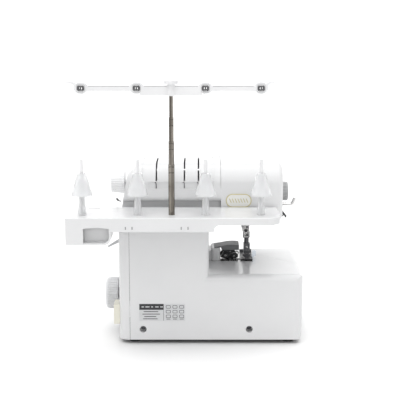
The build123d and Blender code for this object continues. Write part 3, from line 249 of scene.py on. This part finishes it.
# ---------------------------------------------------------------- knobs and wheels with their own finish
KNOBS = {
    "pressure_dial": finish_of("Ribbed_dial", (0.50, 0.505, 0.51), (0.44, 0.445, 0.45),
                               (0.32, 0.48), 60.0, 1600.0, 0.12, extra=ribs((-40, 227), 40, 1.0, 13.6)),
    "handwheel": finish_of("Handwheel_grey", (0.74, 0.745, 0.755), (0.70, 0.705, 0.72),
                           (0.28, 0.44), 60.0, 1600.0, 0.12, wear=(0.82, 0.82, 0.82),
                           extra=ribs((-12, 61), 48, 0.6, 25.2, 0.12)),
    "stitch_selector": finish_of("Selector_white", (0.86, 0.862, 0.868), (0.83, 0.832, 0.84),
                                 (0.24, 0.38), 50.0, 1500.0, 0.10, wear=(0.84, 0.84, 0.84),
                                 extra=ribs((-56, 240), 30, 0.5, 17.0, 0.10)),
}
for number in range(1, 5):
    KNOBS["tension_dial_%d" % number] = finish_of(
        "Tension_dial_white_%d" % number, (0.74, 0.742, 0.75), (0.69, 0.692, 0.70), (0.26, 0.42),
        60.0, 1500.0, 0.12, wear=(0.84, 0.84, 0.84))

for node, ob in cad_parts.items():
    slots = ob.data.materials
    for i in range(len(slots)):
        key = slots[i].name.split(".")[0]
        slots[i] = KNOBS.get(node) or MAT[key]

# ---------------------------------------------------------------- materials of the pieces made here
INK = finish_of("Print_ink_black", (0.022, 0.022, 0.024), (0.035, 0.035, 0.037), (0.40, 0.6),
                200.0, 2600.0, 0.2)
FOIL = finish_of("Rating_foil", (0.60, 0.605, 0.615), (0.56, 0.565, 0.575), (0.30, 0.45),
                 120.0, 2400.0, 0.08, stretch=(1, 1, 0.05))
GOLD = finish_of("Badge_gold", (0.62, 0.56, 0.27), (0.52, 0.46, 0.20), (0.25, 0.42), 150.0,
                 2400.0, 0.1, metal=0.35)
CREAM = finish_of("Badge_cream", (0.80, 0.80, 0.77), (0.77, 0.77, 0.74), (0.25, 0.4), 120.0,
                  2000.0, 0.06)
EYELET = finish_of("Eyelet_dark", (0.10, 0.10, 0.105), (0.07, 0.07, 0.075), (0.3, 0.5), 150.0,
                   2200.0, 0.15, wear=(0.25, 0.25, 0.25), wear_r=0.0003)
# Bright steel mottled between bright and near-black: painted reflections and highlights of chrome.
STEEL_WITH_PAINTED_REFLECTIONS = finish_of("Steel_painted_reflection_mottle", (0.46, 0.455, 0.45), (0.06, 0.06, 0.065),
                          (0.10, 0.30), 520.0, 1800.0, 0.35, metal=1.0, wear=(0.9, 0.9, 0.9),
                          wear_r=0.0004)
# Grey for the trim round the eyelet clips, and for the line of painted shade under the guide bar's top edge.
TRIM_AND_SHADE_LINE_GREY = finish_of("Clip_trim_and_shade_line_grey", (0.50, 0.50, 0.505), (0.44, 0.44, 0.445), (0.3, 0.45), 180.0,
                 2200.0, 0.1)
# Grey for the sheets set in the tray's slits: painted shade.
SLIT_SHADE_GREY = finish_of("Painted_slit_shade_grey", (0.25, 0.25, 0.255), (0.30, 0.30, 0.305), (0.4, 0.6),
                     200.0, 2600.0, 0.15)


# ---------------------------------------------------------------- mesh helpers (millimetres in)
def place(axis, u, v, h):
    """A point from two coordinates in the plane across an axis and one along it."""
    return Vector({"x": (h, u, v), "y": (u, h, v), "z": (u, v, h)}[axis]) * MM


def circle(n):
    """The cosine and sine of n even steps round a turn."""
    return [(math.cos(2 * math.pi * i / n), math.sin(2 * math.pi * i / n)) for i in range(n)]


def prism(bm, pts, axis, a, b, taper=None):
    """A closed outline run from a to b along an axis; taper is the outline at b, if it differs."""
    lo = [bm.verts.new(place(axis, u, v, a)) for u, v in pts]
    hi = [bm.verts.new(place(axis, u, v, b)) for u, v in taper or pts]
    n = len(pts)
    bm.faces.new(lo)
    bm.faces.new(hi[::-1])
    for i in range(n):
        bm.faces.new((lo[i], hi[i], hi[(i + 1) % n], lo[(i + 1) % n]))


def rrect(cx, cy, w, h, r, n=5):
    """A rectangle with rounded corners, each of n steps."""
    pts = []
    for k, (sx, sy) in enumerate(((1, 1), (-1, 1), (-1, -1), (1, -1))):
        for i in range(n + 1):
            a = math.radians(90 * k + 90 * i / n)
            x = cx + sx * (w / 2 - r) + r * math.cos(a)
            y = cy + sy * (h / 2 - r) + r * math.sin(a)
            pts.append((x, y))
    return pts


def band(bm, outer, inner, axis, a, b):
    """A frame between two outlines of the same count, run from a to b."""
    n = len(outer)
    rows = [[bm.verts.new(place(axis, u, v, h)) for u, v in o] for o, h in
            ((outer, a), (outer, b), (inner, b), (inner, a))]
    for i in range(n):
        j = (i + 1) % n
        for r in range(4):
            s = (r + 1) % 4
            bm.faces.new((rows[r][i], rows[r][j], rows[s][j], rows[s][i]))


def lathe(bm, prof, axis, cu, cv, n, closed=False):
    """Spins a profile of (radius, along) points round an axis through (cu, cv)."""
    rows = []
    for r, h in prof:
        if r < 1e-6:
            rows.append([bm.verts.new(place(axis, cu, cv, h))] * n)
        else:
            rows.append([bm.verts.new(place(axis, cu + r * c, cv + r * s, h)) for c, s in circle(n)])
    pairs = list(zip(rows, rows[1:])) + ([(rows[-1], rows[0])] if closed else [])
    for p, q in pairs:
        for i in range(n):
            f = [p[i], p[(i + 1) % n], q[(i + 1) % n], q[i]]
            f = list(dict.fromkeys(f))
            if len(f) > 2:
                bm.faces.new(f)


def rod(bm, p, q, r, n=12):
    """A round bar from p to q, capped."""
    p, q = Vector(p), Vector(q)
    d = (q - p).normalized()
    s = d.orthogonal().normalized()
    t = d.cross(s)
    rows = [[bm.verts.new((end + (s * c + t * sn) * r) * MM) for c, sn in circle(n)] for end in (p, q)]
    bm.faces.new(rows[0][::-1])
    bm.faces.new(rows[1])
    for i in range(n):
        j = (i + 1) % n
        bm.faces.new((rows[0][i], rows[0][j], rows[1][j], rows[1][i]))


def screw(bm, x, z, r, top, foot, slot, proud, n=20):
    """A screw head that faces the rear, with a raised line for its slot of (length, width)."""
    chamfer = 0.5
    lathe(bm, [(0, top), (r - chamfer, top), (r, top - chamfer), (r, foot)], "y", x, z, n)
    prism(bm, rrect(x, z, slot[0], slot[1], 0.1), "y", top, top + proud)


def piece(name, bm, mat, body, bevel=0.0):
    """Makes the mesh an object that rides on a body, with its creases marked."""
    bmesh.ops.recalc_face_normals(bm, faces=bm.faces)
    for f in bm.faces:
        f.smooth = True
    for e in bm.edges:
        if len(e.link_faces) == 2:
            e.smooth = e.calc_face_angle(0.0) < SHARP_EDGE
    mesh = bpy.data.meshes.new(name)
    bm.to_mesh(mesh)
    bm.free()
    mesh.materials.append(mat)
    ob = bpy.data.objects.new(name, mesh)
    bpy.context.scene.collection.objects.link(ob)
    if bevel:
        mod = ob.modifiers.new("Bevel", "BEVEL")
        mod.width, mod.segments, mod.limit_method = bevel * MM, 2, "ANGLE"
        mod.angle_limit = math.radians(35)
    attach(ob, body)


def wire(name, pts, r, mat, body):
    """Bent wire along smooth points."""
    curve = bpy.data.curves.new(name, "CURVE")
    curve.dimensions = "3D"
    curve.bevel_depth, curve.bevel_resolution, curve.resolution_u = r * MM, 3, 8
    curve.use_fill_caps = True
    spline = curve.splines.new("NURBS")
    spline.points.add(len(pts) - 1)
    for i, p in enumerate(pts):
        spline.points[i].co = (*(Vector(p) * MM), 1.0)
    spline.order_u = 3
    spline.use_endpoint_u = True
    tmp = bpy.data.objects.new(name, curve)
    mesh = bpy.data.meshes.new_from_object(tmp)
    bpy.data.objects.remove(tmp)
    bm = bmesh.new()
    bm.from_mesh(mesh)
    bpy.data.meshes.remove(mesh)
    bmesh.ops.remove_doubles(bm, verts=bm.verts, dist=1e-7)
    piece(name, bm, mat, body)


# ---------------------------------------------------------------- camera
camera = bpy.data.objects.new("Camera", bpy.data.cameras.new("Camera"))
camera.data.lens, camera.data.sensor_width = 90.0, 36.0
camera.location = (-0.017, 1.591, 0.517)
camera.rotation_euler = (math.radians(90 - 10.6), 0, math.radians(180))
camera.data.clip_end = 100
bpy.context.scene.camera = camera
bpy.context.scene.collection.objects.link(camera)
bpy.context.scene.view_settings.view_transform = "Standard"

# ---------------------------------------------------------------- a studio tent, brightest behind the machine
world = bpy.data.worlds.new("Studio")
bpy.context.scene.world = world
world.use_nodes = True
sky = Nodes(world.node_tree, "Generated")
x, y, z = sky.xyz()
high = sky.remap(z, 0.0, 0.7, 0.60, 0.46)
side = sky.remap(sky.math("ABSOLUTE", x), 0.35, 1.0, 0.0, -0.06)
back = sky.remap(y, 0.2, -0.8, 0.0, 0.75)
background = sky.tree.nodes["Background"]
background.inputs["Color"].default_value = (1.0, 1.0, 1.0, 1.0)
sky.put(background.inputs["Strength"], sky.math("ADD", sky.math("ADD", high, side), back))


# ---------------------------------------------------------------- lamps
def lamp(name, way, strength, spread):
    """A broad, even light that comes from the given direction."""
    sun = bpy.data.lights.new(name, "SUN")
    sun.energy, sun.angle = strength, math.radians(spread)
    ob = bpy.data.objects.new(name, sun)
    ob.location = Vector(way) * 2.5
    ob.rotation_euler = Vector(way).to_track_quat("Z", "Y").to_euler()
    bpy.context.scene.collection.objects.link(ob)


lamp("Key_light", (-0.25, 1.0, 0.62), 0.48, 40)
lamp("Side_light", (1.0, 0.3, 0.60), 0.3, 45)
lamp("Overhead_light", (0.05, 0.14, 1.0), 2.1, 70)

# ---------------------------------------------------------------- floor
bm = bmesh.new()
bmesh.ops.create_grid(bm, x_segments=8, y_segments=8, size=8.0)
mesh = bpy.data.meshes.new("Floor")
bm.to_mesh(mesh)
bm.free()
floor = bpy.data.objects.new("Floor", mesh)
bpy.context.scene.collection.objects.link(floor)
mesh.materials.append(finish_of("Floor_white", (0.87, 0.87, 0.87), (0.865, 0.865, 0.865), (0.55, 0.65),
                              0.8, 60.0, 0.0))


# ---------------------------------------------------------------- the pieces, one function a sub-part
def rating_plate():
    """Foil plate with blank bars and empty boxes in place of lettering."""
    foil = REAR_FACE + 0.18
    header = foil + 0.08
    ink = foil + 0.06
    header_z = 61.0
    bm = bmesh.new()
    prism(bm, rrect(42.75, 52, 72.5, 28, 1.2), "y", REAR_FACE, foil)
    piece("rating_plate", bm, FOIL, "housing", 0.05)

    bm = bmesh.new()
    prism(bm, rrect(59.5, header_z, 38.5, 9.6, 0.5), "y", foil, header)
    prism(bm, rrect(40.6, 47, 0.5, 17, 0.1), "y", foil, ink)
    for z, left, right in ((53.2, 72, 49), (49.2, 74, 46), (45.2, 71, 52), (41.4, 73, 50)):
        prism(bm, rrect((left + right) / 2, z, left - right, 1.1, 0.3), "y", foil, ink)
    for x in (33, 22.5, 12):
        for z in (61, 53.2, 45.5):
            band(bm, rrect(x, z, 7.4, 5.2, 1.3), rrect(x, z, 6.0, 3.8, 0.8), "y", foil, ink)
        prism(bm, rrect(x, 41.0, 6.4, 0.9, 0.3), "y", foil, ink)
    piece("rating_plate_print", bm, INK, "housing")

    bm = bmesh.new()
    for i, width in enumerate((4.0, 6.5, 3.2, 5.4, 4.4)):
        prism(bm, rrect(73.3 - i * 7.4, header_z, width, 1.5, 0.4), "y", header, header + 0.04)
    piece("rating_plate_stripe", bm, FOIL, "housing")


def head_badge():
    """Pill shaped badge with a rim and a row of slanted stitches."""
    badge_x, badge_z = -78.0, 226.0
    face = HEAD_FACE + 0.5
    bm = bmesh.new()
    prism(bm, rrect(badge_x, badge_z, 39.6, 20.6, 10.0, 10), "y", HEAD_FACE, face)
    piece("head_badge", bm, CREAM, "housing", 0.12)

    bm = bmesh.new()
    band(bm, rrect(badge_x, badge_z, 40.2, 21.2, 10.4, 10), rrect(badge_x, badge_z, 38.0, 19.0, 9.3, 10), "y",
         HEAD_FACE, HEAD_FACE + 0.9)
    for i in range(7):
        x = badge_x + 13.2 - i * 4.4
        slant = ((1.9, 3.0), (1.1, 3.6), (-1.9, -3.0), (-1.1, -3.6))
        stitch = [(x + dx, badge_z + dz) for dx, dz in slant]
        prism(bm, stitch, "y", face, face + 0.3)
    piece("head_badge_trim", bm, GOLD, "housing", 0.1)


def guide_eyelets():
    """A dark lined eyelet with a tongue, and a pale frame round it, in each clip of the guide bar."""
    z = EYE_Z
    hole, sleeve = 2.2, 3.0
    for k, x in enumerate(EYE_X):
        bm = bmesh.new()
        rim = [(x + hole * c, z + hole * s) for c, s in circle(40)]
        band(bm, rrect(x, z, 10.6, 6.6, 1.4, 9), rim, "y", CLIP_FACE - 0.3, CLIP_FACE + 0.8)
        near, far = CLIP_FACE + 0.1, CLIP_FACE - 4.9
        lathe(bm, [(sleeve, far), (sleeve, near), (hole, near), (hole, far)], "y", x, z, 28, True)
        for s in (-1, 1):
            prism(bm, rrect(x + s * 3.7, z, 1.3, 8.2, 0.4), "y", CLIP_FACE, CLIP_FACE + 1.2)
        prism(bm, rrect(x, z + 0.6, 2.3, 5.4, 0.9), "y", CLIP_FACE - 0.1, CLIP_FACE + 0.6)
        piece("guide_eyelet_%d" % (k + 1), bm, EYELET, "guide_bar", 0.12)

        bm = bmesh.new()
        band(bm, rrect(x, z, 12.6, 12.6, 3.2, 9), rrect(x, z, 11.5, 11.5, 2.7, 9), "y",
             CLIP_FACE - 0.5, CLIP_FACE + 0.1)
        for s in (-1, 1):
            prism(bm, rrect(x, z + s * 4.6, 6.4, 1.0, 0.4), "y", CLIP_FACE - 0.3, CLIP_FACE + 0.7)
        piece("guide_eyelet_frame_%d" % (k + 1), bm, TRIM_AND_SHADE_LINE_GREY, "guide_bar", 0.08)


def guide_bar_shade_lines():
    """A grey strip of painted shade under the bar's top edge, broken at the collar and the pads."""
    pad, collar = 11.0, 6.2
    spans = ((EYE_X[0] + pad, EYE_X[1] - pad), (EYE_X[1] + pad, POLE_X - collar),
             (POLE_X + collar, EYE_X[2] - pad), (EYE_X[2] + pad, EYE_X[3] - pad))
    for k, (a, b) in enumerate(spans):
        bm = bmesh.new()
        prism(bm, rrect((a + b) / 2, BAR_TOP - 0.9, b - a, 0.9, 0.3), "y", BAR_FACE - 0.08, BAR_FACE + 0.2)
        piece("guide_bar_edge_shade_%d" % (k + 1), bm, TRIM_AND_SHADE_LINE_GREY, "guide_bar")


def arm_thread_hooks():
    """Four small wire hooks in the arm's rear groove, one below each thread slot."""
    groove_z = 246.0
    bends = ((0, -1.4, 0.4), (0, 0.6, 0), (0, 1.6, 1.6), (0, 1.2, 5.0), (0.3, 1.4, 8.0),
             (1.3, 1.0, 9.6), (2.0, 0.2, 8.8))
    for k in range(4):
        x = FIRST_SLOT_X + SLOT_PITCH * k
        pts = [(x + dx, HEAD_FACE + dy, groove_z + dz) for dx, dy, dz in bends]
        wire("arm_thread_hook_%d" % (k + 1), pts, 0.62, EYELET, "housing")


def side_thread_guide():
    """Wire pigtail on the handwheel end of the arm."""
    wire("side_thread_guide",
         [(110.0, 12, 219.5), (113.0, 12, 220.0), (116.5, 13.5, 222.5), (116.8, 16.5, 225.0),
          (114.2, 18.5, 224.6), (113.6, 17.0, 222.0), (115.2, 15.2, 221.2)],
         0.9, EYELET, "housing")


def wheel_index_mark():
    """Raised pointer above the handwheel."""
    bm = bmesh.new()
    prism(bm, [(-14.5, 94.0), (-9.5, 94.0), (-11.4, 88.6), (-12.6, 88.6)], "x", 111.0, 116.4,
          [(-13.4, 93.4), (-10.6, 93.4), (-11.7, 89.6), (-12.3, 89.6)])
    piece("wheel_index_mark", bm, MAT["light_grey_plastic"], "housing", 0.25)


def needle_bracket():
    """Steel bracket behind the presser bar, with two folded flanges and its screws."""
    top = 181.0
    bm = bmesh.new()
    prism(bm, [(-83.0, top), (-100.5, top), (-98.6, 171.5), (-98.2, 164.0), (-97.6, 157.0),
               (-97.4, 152.4), (-95.8, 151.0), (-90.6, 151.0), (-89.2, 152.4), (-88.6, 157.0),
               (-87.0, 164.5), (-84.6, 172.0)], "y", -27.6, -25.8)
    prism(bm, [(-99.0, top), (-98.0, top), (-96.2, 154.0), (-97.2, 152.5)], "y", -26.5, -22.6)
    prism(bm, [(-84.4, top), (-83.4, top), (-85.0, 172.0), (-88.9, 157.0), (-90.0, 157.0),
               (-86.2, 171.0)], "y", -26.5, -23.4)
    piece("needle_bracket", bm, STEEL_WITH_PAINTED_REFLECTIONS, "housing", 0.2)

    bm = bmesh.new()
    for x, z, r in ((-91.6, 174.5, 2.6), (-92.8, 163.0, 2.4), (-95.0, 155.4, 1.7)):
        screw(bm, x, z, r, -23.4, -26.0, (2 * r - 0.9, 0.5), 0.2)
    lathe(bm, [(0.9, -26.0), (1.7, -25.2), (0.9, -24.4)], "y", -94.4, 168.8, 16)
    piece("bracket_screws", bm, MAT["black_steel"], "housing", 0.08)


def knife_carrier():
    """Black castings that carry the knives, with their screws and link rods."""
    low = KNIFE_FLOOR
    plate, left_boss, right_boss = -41.4, -36.6, -37.8
    bm = bmesh.new()
    prism(bm, [(-80.6, low), (-51.5, low), (-50.4, 121.5), (-55.5, 127.0), (-66.0, 127.8),
               (-74.6, 126.2), (-77.4, 120.8), (-81.0, 118.4)], "y", -46.6, plate)
    prism(bm, [(-78.4, low), (-70.2, low), (-69.4, 119.4), (-73.6, 121.6), (-77.6, 118.6)], "y",
          plate, left_boss)
    prism(bm, [(-64.8, low), (-54.0, low), (-54.6, 118.8), (-58.2, 122.6), (-63.4, 121.4)], "y",
          plate, right_boss)
    piece("knife_carrier", bm, MAT["black_steel"], "housing", 0.5)

    bm = bmesh.new()
    for x, z, r, y in ((-59.6, 118.0, 2.3, right_boss), (-74.0, 117.4, 1.9, left_boss),
                       (-67.6, 124.2, 1.5, plate)):
        screw(bm, x, z, r, y + 1.7, y - 0.4, (2 * r - 1.0, 0.45), 0.15, 18)
    elbow = (-79.6, -38.8, 125.4)
    rod(bm, elbow, (-66.4, -38.8, 119.6), 0.8)
    rod(bm, elbow, (-81.6, -38.8, 121.0), 0.8)
    rod(bm, (-56.8, -39.6, 124.6), (-51.8, -39.6, 116.0), 0.7)
    piece("knife_carrier_screws", bm, STEEL_WITH_PAINTED_REFLECTIONS, "housing", 0.08)


def foot_fittings():
    """Bright screw, hinge ends, side plates and wires on the presser foot."""
    x, y, z = FOOT_X, FOOT_Y, FOOT_Z
    bm = bmesh.new()
    screw(bm, x, z + 22.5, 2.4, y + 1.6, y - 0.3, (3.6, 0.5), 0.15)
    for s in (-1, 1):
        rod(bm, (x + s * 6.9, -33, z + 7), (x + s * 5.6, -33, z + 7), 2.1, 16)
        plate = [(x + s * u, z + v) for u, v in
                 ((2.6, 3.2), (9.2, 3.2), (8.6, 6.4), (6.4, 8.2), (4.4, 6.2))]
        prism(bm, plate, "y", -24.9, -23.9)
    rod(bm, (x - 4.8, -24.6, z + 12.6), (x + 4.8, -24.6, z + 10.2), 0.7, 10)
    rod(bm, (x - 4.6, -25.0, z + 17.4), (x + 4.6, -25.0, z + 17.4), 0.55, 10)
    piece("foot_fittings", bm, STEEL_WITH_PAINTED_REFLECTIONS, "presser_bar", 0.12)


def tray_latch_slit_shade():
    """Dark grey sheets in the tray skirt's slits: painted shade in the slits."""
    bm = bmesh.new()
    for x in (94.4, 84.5, 11.1, 0.9):
        prism(bm, rrect(x, 200.75, 1.7, 4.4, 0.3), "y", 129.6, 130.9)
    piece("tray_latch_slit_shade", bm, SLIT_SHADE_GREY, "housing")


rating_plate()
head_badge()
guide_eyelets()
guide_bar_shade_lines()
arm_thread_hooks()
side_thread_guide()
wheel_index_mark()
needle_bracket()
knife_carrier()
foot_fittings()
tray_latch_slit_shade()
